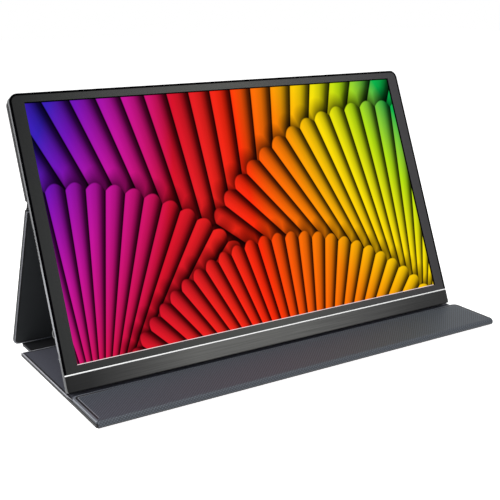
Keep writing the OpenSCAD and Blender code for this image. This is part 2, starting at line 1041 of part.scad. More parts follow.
// Flat button, just below the housing's surface, kept in by a collar behind the wall
module power_button()
{
    x = -side_x(button_b);
    sunk = 0.2;
    collar_w = power_w + 1;
    collar_x = wall + side_x(button_b) - side_x(button_b + collar_w / 2) + slot_gap;
    stem_end = -monitor_w / 2 + switch_in - press - fit - x;
    color("#202124")
        in_monitor()
            translate([x, button_b, power_s]) {
                rotate([90, 0, 90])
                    rotate(90) {
                        translate([0, 0, sunk])
                            linear_extrude(collar_x + 0.5 - sunk)
                                stadium(power_len, power_w);
                        translate([0, 0, collar_x])
                            linear_extrude(0.8)
                                stadium(power_len + 1.6, collar_w);
                    }
                translate([collar_x, -0.6, -1])
                    cube([stem_end - collar_x, 1.2, 2]);
            }
}

// Clear pin that carries the light out through the side
module status_light()
{
    color("#dfe7ea")
        in_monitor()
            translate([-side_x(button_b), button_b, light_s])
                rotate([0, 90, 0])
                    cylinder(r = light_r, h = -monitor_w / 2 + 0.9 + light_len + side_x(button_b));
}

// ---------------------------------------------------------------- nodes

rear_housing();
front_bezel();
chin_trim();
accent_line();
lcd_panel();
diffuser_films();
light_guide();
reflector_sheet();
led_bar();
backlight_tray();
driver_board();
board_screws();
display_cable();
control_board();
control_cable();
left_speaker();
right_speaker();
headphone_jack();
usb_c_socket_lower();
usb_c_socket_upper();
mini_video_socket();
menu_switch();
menu_rocker();
power_button();
status_light();
steel_strip();
upper_skin();
upper_board();
upper_lining();
cover_magnets();
leg_skin();
leg_board();
leg_lining();
strip_skin();
strip_board();
strip_lining();
base_skin();
base_board();
base_lining();
flap_skin();
flap_board();
flap_lining();
front_crease();
base_crease();
leg_crease();
upper_crease();
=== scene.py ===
import json
import math

import bpy
import numpy as np
from mathutils import Matrix


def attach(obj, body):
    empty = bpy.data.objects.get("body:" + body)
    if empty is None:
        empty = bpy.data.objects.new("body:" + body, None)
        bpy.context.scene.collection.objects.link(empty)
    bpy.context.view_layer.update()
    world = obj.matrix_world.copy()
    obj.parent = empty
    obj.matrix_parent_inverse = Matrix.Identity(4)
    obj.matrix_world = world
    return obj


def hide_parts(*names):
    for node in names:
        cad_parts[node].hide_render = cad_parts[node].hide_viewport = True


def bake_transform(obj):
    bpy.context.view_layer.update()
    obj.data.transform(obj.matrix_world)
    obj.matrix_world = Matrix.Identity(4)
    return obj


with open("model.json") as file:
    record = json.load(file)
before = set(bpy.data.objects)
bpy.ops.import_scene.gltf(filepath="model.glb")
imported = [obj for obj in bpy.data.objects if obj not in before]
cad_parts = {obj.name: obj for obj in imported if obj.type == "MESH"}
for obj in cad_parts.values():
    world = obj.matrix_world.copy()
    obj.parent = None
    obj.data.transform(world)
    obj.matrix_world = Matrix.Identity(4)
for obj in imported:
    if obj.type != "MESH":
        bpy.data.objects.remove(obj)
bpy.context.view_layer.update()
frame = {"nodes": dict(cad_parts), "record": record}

# ------------------------------------------------------------------ sizes, in millimetres
# They repeat the part's own values, and meet its faces.

MM = 0.001
LEAN = 23.5
PICTURE = (344.2, 193.6)     # width and height of the picture
PICTURE_LOW = 18.5           # its lower edge above the monitor's foot
MONITOR_W = 366.0
MONITOR_H = 219.0
MONITOR_X = -2.0
MONITOR_CORNER = 6.5
CHIN_H = 12.0
ACCENT_H = 1.1
UPPER_T = 6.8                # the monitor's thickness above its ramp
LOWER_T = 10.5               # and below it

COVER_W = 370.0
STRIP_W = 353.4
T = 2.6                      # a cover panel's thickness
SKIN = 0.6                   # one layer of leather
BOARD_IN = 1.5               # from a panel's edge to its stiff board
CREASE_T = 1.1
CORNER = 5.0
BASE_CORNER = 1.5
SQUARE = 1.0                 # corner radius of a hinged end
BASE_DEPTH = 150.0
FLAP_LEN = 47.0
FOLD_GAP = 0.3
FOLD_R = T + FOLD_GAP / 2
FOLD_Y = -BASE_DEPTH / 2 + FOLD_R
CREASE_H = 136.2             # the upper crease above the monitor's foot
STACK_GAP = 0.3              # between the monitor's back and the folded leg
REAR_GAP = 19.0              # from the base panel to the leg's hinge line
BASE_CREASE = 2.4            # leather between the base panel and the strip
HINGE_SIDE = 2.2             # leather from the strip to the leg's hinge line
SEAM = 0.05                  # between a crease and the panel that turns on it

# The monitor's foot, the crease behind it and the leg's lower hinge, in side view
lean = math.radians(LEAN)
UP = np.array([math.sin(lean), math.cos(lean)])        # along the screen, as (y, z)
BACK = np.array([math.cos(lean), -math.sin(lean)])     # into the screen
FOOT = np.array([-24.0, 5.8236])
KNEE_DEEP = LOWER_T + STACK_GAP + T / 2
KNEE = FOOT + CREASE_H * UP + KNEE_DEEP * BACK
HINGE = np.array([BASE_DEPTH / 2 + REAR_GAP, T / 2])
LEG = (KNEE - HINGE) / np.linalg.norm(KNEE - HINGE)
LEG_RUN = float(np.linalg.norm(KNEE - HINGE))
LEG_START = 2.6              # from the hinge line to the leg panel
LEG_STOP = 1.0               # from the leg panel to the upper crease
UPPER_START = 4.8            # from the upper crease to the upper panel
UPPER_MARGIN = 2.0           # from the upper panel to the monitor's top
UPPER_LOW = CREASE_H + UPPER_START
UPPER_LEN = MONITOR_H - UPPER_MARGIN - UPPER_LOW
STRIP_START = BASE_DEPTH / 2 + BASE_CREASE
STRIP_LEN = REAR_GAP - BASE_CREASE - HINGE_SIDE
# Half the width over which a panel's end is square, where a crease is attached
PANEL_REACH = COVER_W / 2 - SQUARE + 0.1
STRIP_REACH = STRIP_W / 2 + 0.1


# ------------------------------------------------------------------ meshes

def shell(name, rings, uv, edge, body, material, sharp=38):
    """A closed skin through rings of points, each ring joined to the next by four-sided
    faces, with the first and the last ring filled in. Points are in millimetres. edge is
    0 on a face, up to 1 for a painted highlight on an edge and down to -1 for painted
    shade, as in a pressed line."""
    count, size = rings.shape[:2]
    near = np.arange(count * size).reshape(count, size)
    far = np.roll(near, -1, axis=1)
    sides = np.stack([near[:-1], far[:-1], far[1:], near[1:]], axis=-1).reshape(-1, 4)
    faces = sides.tolist() + [near[0, ::-1].tolist(), near[-1].tolist()]
    mesh = bpy.data.meshes.new(name)
    mesh.from_pydata((rings.reshape(-1, 3) * MM).tolist(), [], faces)
    corners = np.zeros(len(mesh.loops), np.int32)
    mesh.loops.foreach_get("vertex_index", corners)
    grain = mesh.uv_layers.new(name="grain")
    grain.data.foreach_set("uv", (uv.reshape(-1, 2)[corners] * MM).ravel().astype(np.float32))
    mesh.attributes.new("edge", "FLOAT", "POINT").data.foreach_set(
        "value", np.broadcast_to(edge, rings.shape[:2]).ravel().astype(np.float32))
    mesh.shade_smooth()
    mesh.set_sharp_from_angle(angle=math.radians(sharp))
    mesh.materials.append(material)
    piece = bpy.data.objects.new(name, mesh)
    bpy.context.scene.collection.objects.link(piece)
    if body:
        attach(piece, body)
    return piece


def smooth(t):
    """0 up to 0, 1 from 1 on, and between them t squared times (3 - 2 t), an even S curve."""
    t = np.clip(t, 0, 1)
    return t * t * (3 - 2 * t)


def rim(width, length, low_r, high_r, inset):
    """A rectangle with round corners, drawn in by inset: a quarter circle about each corner's
    centre, and evenly spaced points on the straight sides between them."""
    arc_count, side_count = 8, 22
    r = np.maximum(np.array([low_r, high_r, high_r, low_r]) - inset, 0.15)
    centre = np.stack([
        np.array([1, 1, -1, -1]) * (width / 2 - inset - r),
        np.where([True, False, False, True], inset + r, length - inset - r),
    ], axis=1)
    turn = np.radians(np.array([-90, 0, 90, 180])[:, None] + np.linspace(0, 90, arc_count + 1))
    arcs = centre[:, None] + r[:, None, None] * np.stack([np.cos(turn), np.sin(turn)], axis=-1)
    step = (np.arange(side_count) + 1)[None, :, None] / (side_count + 1)
    sides = arcs[:, -1:] * (1 - step) + np.roll(arcs, -1, axis=0)[:, :1] * step
    return np.concatenate([arcs, sides], axis=1).reshape(-1, 2)


EDGE_R = 0.55                # rounding of a panel's edge
GROOVE_IN = 2.6              # the pressed line, in from the edge
GROOVE_DEEP = 0.18
HEM = 2.0                    # width of the turned-in hem
NARROW = 30.0                # a shorter panel has no dark line at its hem
TINT_FROM = 28.0             # from a panel's side to where its tints start to grow
TINT_FULL = 6.0              # and to where they are full
WAVE_STEP = 0.444            # between the bands of a diagonal wave texture of scale 1


def wrap_profile(outer_tint, side_tint, inner_tint, hem_tint):
    """From the middle of the outer face to the floor under the board: face, pressed line,
    rounded edge, side, rounded edge, turned-in hem and the pocket of the board. Each row is
    the distance in from the edge, the height, what ends at a crease, 1 the distance and 2
    the height, and how much painted highlight (above 0) or painted shade (below 0) it takes."""
    a = np.radians(np.linspace(0, 90, 6))
    low = np.stack([EDGE_R * (1 - np.sin(a)), EDGE_R * (1 - np.cos(a)), np.ones(6),
                    np.linspace(0.3, 1, 6) * outer_tint], axis=1)
    high = low[::-1] * [1, -1, 1, 0] + [0, T, 0, 0]
    high[:, 3] = np.linspace(side_tint, inner_tint, 6)
    side = [[0, T / 2, 1, side_tint]]
    across = np.array([1.5, 1.0, 0.35, 0.0, -0.35, -0.6, -0.9])
    deep = GROOVE_DEEP * np.array([0.0, 0.0, 0.45, 1.0, 0.45, 0.0, 0.0])
    # painted shade in the pressed line, with a faint painted highlight at its outer side
    tint = np.array([0.0, 0.25, -0.6, -1.0, -1.0, -0.3, 0.1])
    line = np.stack([GROOVE_IN + across, deep, np.full(7, 2.0), tint], axis=1)
    face = [[GROOVE_IN + 3, 0, 0, 0]]
    # the hem's inner end takes painted shade
    hem = [[HEM - 0.8, T, 0, hem_tint], [HEM - 0.5, T - 0.02, 0, -1],
           [HEM, T - 0.08, 0, -1], [HEM, T - SKIN, 0, -1],
           [BOARD_IN, T - SKIN, 0, 0], [BOARD_IN, SKIN, 0, 0]]
    return np.array(face + line.tolist() + low.tolist() + side + high.tolist() + hem)


def lining_profile():
    """From under the lining to its top: a thin sheet with a soft edge in painted shade, inside
    the hem. Its rows say what those of wrap_profile say."""
    top = T - 0.12
    return np.array([[HEM + 0.3, T - SKIN, 0, 0], [HEM + 0.05, T - SKIN, 0, 0],
                     [HEM + 0.05, top - 0.1, 0, -1], [HEM + 0.15, top, 0, -1],
                     [HEM + 0.8, top, 0, 0]])


def panel(name, profile, width, length, radii, creased, place, body, material,
          painted_shade_to=0.0):
    """Rings of the panel's outline, one for each row of the profile: outline drawn in by the
    row's distance, at the row's height. Where a crease is attached the edge stays square,
    and up to painted_shade_to along the panel its side takes painted shade, where another panel
    lies on it. Its painted highlights and shade are full at the sides and fade out along the
    ends."""
    outer = rim(width, length, *radii, 0)
    inward = width / 2 - np.abs(outer[:, 0])
    beside = 0.1 + 0.9 * smooth((TINT_FROM - inward) / (TINT_FROM - TINT_FULL))
    g = np.ones(len(outer))
    for end, reach in creased:
        g[(np.abs(outer[:, 1] - end * length) < 1e-6) & (np.abs(outer[:, 0]) < reach)] = 0
    flat, edge = [], []
    for inset, height, follows, tint in profile:
        inner = rim(width, length, *radii, inset)
        share = g[:, None] if follows == 1 else 1
        z = height * (g if follows == 2 else np.ones(len(g)))
        flat.append(np.column_stack([outer + share * (inner - outer), z]))
        shade = tint * beside * (g if follows else length > NARROW)
        edge.append(np.where((outer[:, 1] < painted_shade_to) & (follows == 1), -1.0, shade))
    flat = np.array(flat)
    origin, along, up = place
    side = np.cross(along, up)
    rings = origin + flat[..., :1] * side + flat[..., 1:2] * along + flat[..., 2:] * up
    uv = flat[..., :2] + flat[..., 2:]
    return shell(name, rings, uv, np.array(edge), body, material)


def bend(p0, p1, p2, count=16):
    """A curve from p0 to p2 that leaves and arrives along the lines through p1:
    (1-t)^2 p0 + 2t(1-t) p1 + t^2 p2, with its direction at each point."""
    t = np.linspace(0, 1, count)[:, None]
    point = (1 - t) ** 2 * p0 + 2 * t * (1 - t) * p1 + t ** 2 * p2
    way = (1 - t) * (p1 - p0) + t * (p2 - p1)
    return point, way / np.linalg.norm(way, axis=1, keepdims=True)


def crease(name, line, way, half_width, material, ends=T):
    """Leather along X over a crease. Its thickness is ends at both ends and CREASE_T between
    them, flush outside where ends is thinner than the panel, and it gathers in faint
    wrinkles: thickness + product of two sines along X."""
    count = 41
    run = np.concatenate([[0], np.cumsum(np.linalg.norm(np.diff(line, axis=0), axis=1))])
    t = run / run[-1]
    middle = smooth(t / 0.3) * smooth((1 - t) / 0.3)
    thick = ends - (ends - CREASE_T) * middle
    x = np.linspace(-half_width, half_width, count)
    wrinkle = 0.05 * np.sin(x / 2.3) * np.sin(x / 7.1 + 0.6)
    half = thick / 2 + wrinkle[:, None] * middle
    across = np.stack([-way[:, 1], way[:, 0]], axis=1)
    mid = line - across * (T - ends) / 2
    left = mid + half[..., None] * across
    right = mid - half[..., None] * across
    section = np.concatenate([right, left[:, ::-1]], axis=1)
    rings = np.concatenate([
        np.broadcast_to(x[:, None, None], section.shape[:2] + (1,)), section], axis=2)
    along = np.concatenate([run, run[::-1] + run[-1]])
    uv = np.stack([np.broadcast_to(x[:, None], section.shape[:2]),
                   np.broadcast_to(along, section.shape[:2])], axis=-1)
    # edge -0.5 gives the whole crease the leather's painted shade colour
    piece = shell(name + "_leather", rings, uv, -0.5, None, material)
    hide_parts(name)
    return piece


# ------------------------------------------------------------------ materials

def linear(code, alpha=1.0):
    """sRGB hex to the linear values that shaders use."""
    parts = [int(code[i:i + 2], 16) / 255 for i in (1, 3, 5)]
    return tuple(c / 12.92 if c <= 0.04045 else ((c + 0.055) / 1.055) ** 2.4
                 for c in parts) + (alpha,)


def put(tree, kind, links=None, stops=None, **settings):
    """Adds a node with its settings, values and links. A node given as a value means its
    first output, and stops are a ramp's places and colours."""
    node = tree.nodes.new(kind)
    for key, value in settings.items():
        setattr(node, key, value)
    for key, value in (links or {}).items():
        if isinstance(value, bpy.types.Node):
            value = value.outputs[0]
        if isinstance(value, bpy.types.NodeSocket):
            tree.links.new(value, node.inputs[key])
        else:
            node.inputs[key].default_value = value
    if stops:
        ramp = node.color_ramp.elements
        while len(ramp) < len(stops):
            ramp.new(0.5)
        for element, (place, code) in zip(ramp, stops):
            element.position = place
            element.color = linear(code)
    return node


def new_material(name):
    material = bpy.data.materials.new(name)
    material.use_nodes = True
    material.node_tree.nodes.clear()
    return material, material.node_tree


def in_monitor(tree):
    """Object coordinates turned with the monitor, in mm: X along it, Y into it, Z up it."""
    place = put(tree, "ShaderNodeTexCoord")
    foot = (-MONITOR_X, -float(FOOT @ BACK), -float(FOOT @ UP))
    return put(tree, "ShaderNodeMapping",
               {"Vector": place.outputs["Object"], "Location": foot,
                "Rotation": (lean, 0, 0), "Scale": (1 / MM,) * 3})


def output(tree, shader):
    put(tree, "ShaderNodeOutputMaterial", {"Surface": shader})


def plain(name, dark, light, rough, metal=0.0, pitch=1.0, deep=0.01, stretch=(1, 1, 1),
          turned=False, **more):
    """A surface whose colour wanders between two near shades with noise of a given pitch in
    millimetres, which also lifts it by deep millimetres."""
    material, tree = new_material(name)
    if turned:
        place = in_monitor(tree)
    else:
        place = put(tree, "ShaderNodeMapping", {
            "Vector": put(tree, "ShaderNodeTexCoord").outputs["Object"],
            "Scale": (1 / MM,) * 3})
    fine = put(tree, "ShaderNodeMapping", {"Vector": place, "Scale": stretch})
    noise = put(tree, "ShaderNodeTexNoise", {"Vector": fine, "Scale": 1 / pitch,
                                             "Detail": 3.0, "Roughness": 0.6})
    ramp = put(tree, "ShaderNodeValToRGB", {"Fac": noise}, [(0.3, dark), (0.7, light)])
    bump = put(tree, "ShaderNodeBump", {"Height": noise, "Distance": deep * MM,
                                        "Strength": 1.0})
    shader = put(tree, "ShaderNodeBsdfPrincipled",
                 {"Base Color": ramp, "Roughness": rough, "Metallic": metal,
                  "Normal": bump, **more})
    output(tree, shader)
    return material


def leather(name, dark, light, painted_edge_light, painted_line_shade, rough, pitch, deep):
    """Artificial leather pressed with a fine crossing twill. It gives a dull grey with a
    faint diagonal hatch; the real pitch of about 0.8 mm is drawn coarser so that it shows.
    Where the edge attribute is above 0 it takes a painted highlight, as a rounded edge that
    catches the light, and below 0 painted shade, as in the pressed line, at the hem and in the
    folds."""
    material, tree = new_material(name)
    place = put(tree, "ShaderNodeMapping", {
        "Vector": put(tree, "ShaderNodeUVMap", uv_map="grain"), "Scale": (1 / MM,) * 3})
    twills = []
    for way in (1, -1):
        turned = put(tree, "ShaderNodeMapping", {"Vector": place, "Scale": (way, 1, 1)})
        twills.append(put(tree, "ShaderNodeTexWave",
                          {"Vector": turned, "Scale": WAVE_STEP / pitch, "Distortion": 0.6,
                           "Detail": 1.0, "Detail Scale": 0.7},
                          bands_direction="DIAGONAL"))
    weave = put(tree, "ShaderNodeMath",
                {0: twills[0].outputs["Fac"], 1: twills[1].outputs["Fac"]},
                operation="MULTIPLY")
    pores = put(tree, "ShaderNodeTexNoise", {"Vector": place, "Scale": 0.7, "Detail": 4.0})
    mixed = put(tree, "ShaderNodeMath", {0: pores.outputs["Fac"], 1: 0.6, 2: weave},
                operation="MULTIPLY_ADD")
    grain = put(tree, "ShaderNodeValToRGB", {"Fac": mixed}, [(0.2, dark), (1.0, light)])
    # painted highlight from the edge attribute's positive values, painted shade from its
    # negative ones
    edge = put(tree, "ShaderNodeAttribute", attribute_name="edge")
    lift = put(tree, "ShaderNodeMapRange", {"Value": edge.outputs["Fac"], "From Max": 0.6})
    sink = put(tree, "ShaderNodeMapRange", {"Value": edge.outputs["Fac"], "From Min": 0.1,
                                            "From Max": -0.3})
    colour = put(tree, "ShaderNodeMix", {0: lift, 6: grain, 7: linear(painted_edge_light)},
                 data_type="RGBA").outputs[2]
    colour = put(tree, "ShaderNodeMix", {0: sink, 6: colour, 7: linear(painted_line_shade)},
                 data_type="RGBA").outputs[2]
    pressed = put(tree, "ShaderNodeMath", {0: lift, 1: sink}, operation="MAXIMUM")
    even = put(tree, "ShaderNodeMath", {0: 1.0, 1: pressed}, operation="SUBTRACT")
    raised = put(tree, "ShaderNodeMath", {0: weave, 1: even}, operation="MULTIPLY")
    bump = put(tree, "ShaderNodeBump", {"Height": raised, "Distance": deep * MM,
                                        "Strength": 1.0})
    shader = put(tree, "ShaderNodeBsdfPrincipled",
                 {"Base Color": colour, "Roughness": rough, "Specular IOR Level": 0.35,
                  "Normal": bump})
    output(tree, shader)
    return material


def display():
    """Display glass with an anti-glare film, lit. The picture is folded paper fans that
    overlap: in each fan the angle about its hinge, times the number of pleats, gives a
    saw-tooth from dark to light."""
    material, tree = new_material("Anti-glare display glass, lit")
    place = in_monitor(tree)
    height = PICTURE[1]
    # u from 0 to 1.78 across the picture, v from 0 to 1 up it
    flat = put(tree, "ShaderNodeMapping", {
        "Vector": place, "Scale": (1 / height, 0, 1 / height),
        "Location": (PICTURE[0] / 2 / height, 0, -PICTURE_LOW / height)})
    split = put(tree, "ShaderNodeSeparateXYZ", {0: flat})
    u, v = split.outputs[0], split.outputs[2]
    # hinge (u, v), radius and pleats in a full turn of each fan, from the rearmost to the front
    fans = [(0.75, -0.9, 9.0, 118), (1.62, -0.32, 1.22, 82), (0.05, -0.3, 0.98, 74),
            (0.98, -0.62, 0.98, 86)]
    light = None
    for centre_u, centre_v, radius, pleats in fans:
        away = put(tree, "ShaderNodeVectorMath",
                   {0: flat, 1: (centre_u, 0, centre_v)}, operation="SUBTRACT")
        parts = put(tree, "ShaderNodeSeparateXYZ", {0: away})
        angle = put(tree, "ShaderNodeMath", {0: parts.outputs[2], 1: parts.outputs[0]},
                    operation="ARCTAN2")
        turns = put(tree, "ShaderNodeMath", {0: angle, 1: pleats / (2 * math.pi)},
                    operation="MULTIPLY")
        pleat = put(tree, "ShaderNodeMath", {0: turns}, operation="FRACT")
        shade = put(tree, "ShaderNodeValToRGB", {"Fac": pleat},
                    [(0.0, "#080808"), (0.18, "#606060"), (0.5, "#dcdcdc"),
                     (0.8, "#ffffff"), (0.96, "#ffffff"), (1.0, "#080808")])
        if light is None:
            light = shade
            continue
        # each pleat reaches furthest in its middle, and the fan shades what is behind it
        far = put(tree, "ShaderNodeVectorMath", {0: away}, operation="LENGTH")
        middle = put(tree, "ShaderNodeMath", {0: pleat, 1: 0.5}, operation="SUBTRACT")
        scallop = put(tree, "ShaderNodeMath", {0: middle, 1: middle}, operation="MULTIPLY")
        reach = put(tree, "ShaderNodeMath", {0: scallop, 1: 0.12, 2: far.outputs["Value"]},
                    operation="MULTIPLY_ADD")
        inside = put(tree, "ShaderNodeMapRange",
                     {"Value": reach, "From Min": radius + 0.003, "From Max": radius - 0.003})
        shadow = put(tree, "ShaderNodeMapRange",
                     {"Value": reach, "From Min": radius, "From Max": radius + 0.07,
                      "To Min": 0.2, "To Max": 1.0})
        dimmed = put(tree, "ShaderNodeVectorMath", {0: light, "Scale": shadow},
                     operation="SCALE")
        light = put(tree, "ShaderNodeMix", {0: inside, 6: dimmed, 7: shade},
                    data_type="RGBA").outputs[2]
    # hue runs from violet at the upper left, through red, to green at the upper right
    side = put(tree, "ShaderNodeMath", {0: u, 1: PICTURE[0] / height / 2},
               operation="SUBTRACT")
    spread = put(tree, "ShaderNodeMath", {0: v, 1: 0.38, 2: 0.25}, operation="MULTIPLY_ADD")
    hue = put(tree, "ShaderNodeMath", {0: side, 1: spread, 2: 0.5}, operation="MULTIPLY_ADD")
    ink = put(tree, "ShaderNodeValToRGB", {"Fac": hue},
              [(0.0, "#3a20b8"), (0.07, "#7414b8"), (0.19, "#c4149c"), (0.33, "#d8122c"),
               (0.5, "#ff2c08"), (0.62, "#ff8404"), (0.75, "#ffe208"), (0.88, "#b4e414"),
               (1.0, "#0cb44c")])
    picture = put(tree, "ShaderNodeMix", {0: 1.0, 6: ink, 7: light},
                  data_type="RGBA", blend_type="MULTIPLY").outputs[2]
    # painted highlight: a light line along the picture's foot, where the opening's lower edge
    # catches the light
    foot = put(tree, "ShaderNodeMapRange", {"Value": v, "From Min": 0.0028,
                                            "From Max": 0.0018})
    picture = put(tree, "ShaderNodeMix", {0: foot, 6: picture, 7: linear("#fbe6ea")},
                  data_type="RGBA").outputs[2]
    # black border where no picture is lit
    for value, edge, inner in ((u, PICTURE[0] / height - 0.004, PICTURE[0] / height - 0.006),
                               (v, 0.997, 0.995)):
        lit = put(tree, "ShaderNodeMapRange",
                  {"Value": value, "From Min": edge, "From Max": inner})
        picture = put(tree, "ShaderNodeVectorMath", {0: picture, "Scale": lit},
                      operation="SCALE").outputs[0]
    shader = put(tree, "ShaderNodeBsdfPrincipled",
                 {"Base Color": linear("#020203"), "Roughness": 0.5,
                  "Specular IOR Level": 0.0, "Emission Color": picture,
                  "Emission Strength": 1.0})
    output(tree, shader)
    return material


def bezel():
    """Moulded plastic with a fine matt skin: dark grey and dull, and black where it turns
    round at its outer edge, by its distance from the rounded outline. Painted light and shade
    make its face lightest in the middle and darkest at the left."""
    material, tree = new_material("Moulded ABS, fine matt")
    place = in_monitor(tree)
    split = put(tree, "ShaderNodeSeparateXYZ", {0: place})
    across = put(tree, "ShaderNodeMapRange",
                 {"Value": split.outputs[0], "From Min": -MONITOR_W / 2,
                  "From Max": MONITOR_W / 2})
    # painted light and shade across the face: darkest at the left, lightest in the middle
    face = put(tree, "ShaderNodeValToRGB", {"Fac": across},
               [(0.0, "#313232"), (0.1, "#3a3b3a"), (0.5, "#545553"), (1.0, "#454446")])
    middle = put(tree, "ShaderNodeVectorMath",
                 {0: place, 1: (0, 0, MONITOR_H / 2)}, operation="SUBTRACT")
    middle = put(tree, "ShaderNodeVectorMath", {0: middle}, operation="ABSOLUTE")
    past = put(tree, "ShaderNodeVectorMath",
               {0: middle, 1: (MONITOR_W / 2 - MONITOR_CORNER, 9999,
                               MONITOR_H / 2 - MONITOR_CORNER)}, operation="SUBTRACT")
    past = put(tree, "ShaderNodeVectorMath", {0: past, 1: (0, 0, 0)}, operation="MAXIMUM")
    reach = put(tree, "ShaderNodeVectorMath", {0: past}, operation="LENGTH")
    # black over the outer 1.5 mm of the face, and everywhere behind the face
    border = put(tree, "ShaderNodeMapRange",
                 {"Value": reach.outputs["Value"], "From Min": MONITOR_CORNER - 1.9,
                  "From Max": MONITOR_CORNER - 1.5})
    depth = put(tree, "ShaderNodeMapRange",
                {"Value": split.outputs[1], "From Min": 0.1, "From Max": 0.2})
    black = put(tree, "ShaderNodeMath", {0: border, 1: depth}, operation="MAXIMUM")
    # painted shade: the face's left fifth grows darker towards the top
    high = put(tree, "ShaderNodeMapRange",
               {"Value": split.outputs[2], "From Min": 80.0, "From Max": MONITOR_H})
    aside = put(tree, "ShaderNodeMapRange",
                {"Value": across, "From Min": 0.2, "From Max": 0.0, "To Max": -0.34})
    level = put(tree, "ShaderNodeMath", {0: high, 1: aside, 2: 1.0},
                operation="MULTIPLY_ADD")
    face = put(tree, "ShaderNodeVectorMath", {0: face, "Scale": level}, operation="SCALE")
    colour = put(tree, "ShaderNodeMix", {0: black, 6: face, 7: linear("#040405")},
                 data_type="RGBA").outputs[2]
    noise = put(tree, "ShaderNodeTexNoise", {"Vector": place, "Scale": 2.5, "Detail": 2.0})
    bump = put(tree, "ShaderNodeBump", {"Height": noise, "Distance": 0.01 * MM})
    shader = put(tree, "ShaderNodeBsdfPrincipled",
                 {"Base Color": colour, "Roughness": 0.7, "Specular IOR Level": 0.0,
                  "Normal": bump})
    output(tree, shader)
    return material


def brushed_strip():
    """Aluminium brushed along its length and anodised dark grey: fine level streaks, with a
    broad soft painted sheen in the middle and painted shade towards both ends, near black at
    the left end."""
    material, tree = new_material("Brushed aluminium, anodised dark grey")
    place = in_monitor(tree)
    split = put(tree, "ShaderNodeSeparateXYZ", {0: place})
    long = put(tree, "ShaderNodeMapping", {"Vector": place, "Scale": (0.012, 1, 1.6)})
    streaks = put(tree, "ShaderNodeTexNoise", {"Vector": long, "Scale": 1.0, "Detail": 5.0,
                                               "Roughness": 0.7})
    across = put(tree, "ShaderNodeMapRange",
                 {"Value": split.outputs[0], "From Min": -MONITOR_W / 2,
                  "From Max": MONITOR_W / 2})
    # painted sheen in the middle and painted shade towards both ends
    sheen = put(tree, "ShaderNodeValToRGB", {"Fac": across},
                [(0.003, "#070707"), (0.006, "#171718"), (0.05, "#222223"),
                 (0.18, "#515150"), (0.29, "#6d6d6b"), (0.55, "#6e6e6c"),
                 (0.68, "#60605f"), (0.9, "#393939"), (1.0, "#2a2a2a")])
    grey = put(tree, "ShaderNodeValToRGB", {"Fac": streaks},
               [(0.3, "#b4b4b4"), (0.7, "#ffffff")])
    colour = put(tree, "ShaderNodeMix", {0: 1.0, 6: sheen, 7: grey},
                 data_type="RGBA", blend_type="MULTIPLY").outputs[2]
    bump = put(tree, "ShaderNodeBump", {"Height": streaks, "Distance": 0.02 * MM})
    shader = put(tree, "ShaderNodeBsdfPrincipled",
                 {"Base Color": colour, "Roughness": 0.42, "Metallic": 0.6,
                  "Normal": bump})
    output(tree, shader)
    return material


def button():
    """Turned aluminium, satin: the face that stands out of the housing is bright, and what
    stands in the gap round it is black as painted shade, by the distance from the monitor's
    middle."""
    material, tree = new_material("Turned aluminium, satin face")
    split = put(tree, "ShaderNodeSeparateXYZ", {0: in_monitor(tree)})
    aside = put(tree, "ShaderNodeMath", {0: split.outputs[0]}, operation="ABSOLUTE")
    face = MONITOR_W / 2 + 0.6
    proud = put(tree, "ShaderNodeMapRange",
                {"Value": aside, "From Min": face, "From Max": face + 0.1})
    colour = put(tree, "ShaderNodeValToRGB", {"Fac": proud},
                 [(0.0, "#0a0a0b"), (1.0, "#fbfcfd")])
    output(tree, put(tree, "ShaderNodeBsdfPrincipled",
                     {"Base Color": colour, "Roughness": 0.35, "Metallic": 1.0}))
    return material


def blasted():
    """Fine-blasted aluminium, clear anodised: an even, soft grey without a grain that the eye
    can follow. Painted light makes it brightest halfway up the thick lower part, and painted
    shade darkens its foot and, along the thin upper part, darkens it from the bezel to the
    back."""
    material, tree = new_material("Blasted aluminium, clear anodised")
    place = in_monitor(tree)
    split = put(tree, "ShaderNodeSeparateXYZ", {0: place})
    height = put(tree, "ShaderNodeMapRange",
                 {"Value": split.outputs[2], "From Max": MONITOR_H})
    painted_light_tone = put(tree, "ShaderNodeValToRGB", {"Fac": height},
               [(0.0, "#3c3d40"), (0.1, "#3e3f42"), (0.15, "#74757a"), (0.36, "#76777b"),
                (0.47, "#5c5d60"), (1.0, "#5a5b5e")])
    # painted shade behind the front of the thin upper part
    front = put(tree, "ShaderNodeMapRange", {"Value": split.outputs[1], "From Min": 3.6,
                                             "From Max": 2.4})
    thick = put(tree, "ShaderNodeMapRange", {"Value": height, "From Min": 0.52,
                                             "From Max": 0.42})
    bright = put(tree, "ShaderNodeMath", {0: front, 1: thick}, operation="MAXIMUM")
    colour = put(tree, "ShaderNodeMix", {0: bright, 6: linear("#2b2c2e"), 7: painted_light_tone},
                 data_type="RGBA").outputs[2]
    noise = put(tree, "ShaderNodeTexNoise", {"Vector": place, "Scale": 1.7, "Detail": 3.0})
    bump = put(tree, "ShaderNodeBump", {"Height": noise, "Distance": 0.008 * MM})
    output(tree, put(tree, "ShaderNodeBsdfPrincipled",
                     {"Base Color": colour, "Roughness": 0.4, "Metallic": 0.85,
                      "Normal": bump}))
    return material


def cut_edge():
    """A diamond-cut aluminium edge: near white on its upper part, and dark at its foot with
    painted shade where it turns in to the strip below."""
    material, tree = new_material("Diamond-cut aluminium")
    split = put(tree, "ShaderNodeSeparateXYZ", {0: in_monitor(tree)})
    height = put(tree, "ShaderNodeMapRange",
                 {"Value": split.outputs[2], "From Min": CHIN_H, "From Max": CHIN_H + ACCENT_H})
    colour = put(tree, "ShaderNodeValToRGB", {"Fac": height},
                 [(0.2, "#6a6a6a"), (0.3, "#ffffff")])
    output(tree, put(tree, "ShaderNodeBsdfPrincipled",
                     {"Base Color": colour, "Roughness": 0.3, "Metallic": 0.1}))
    return material


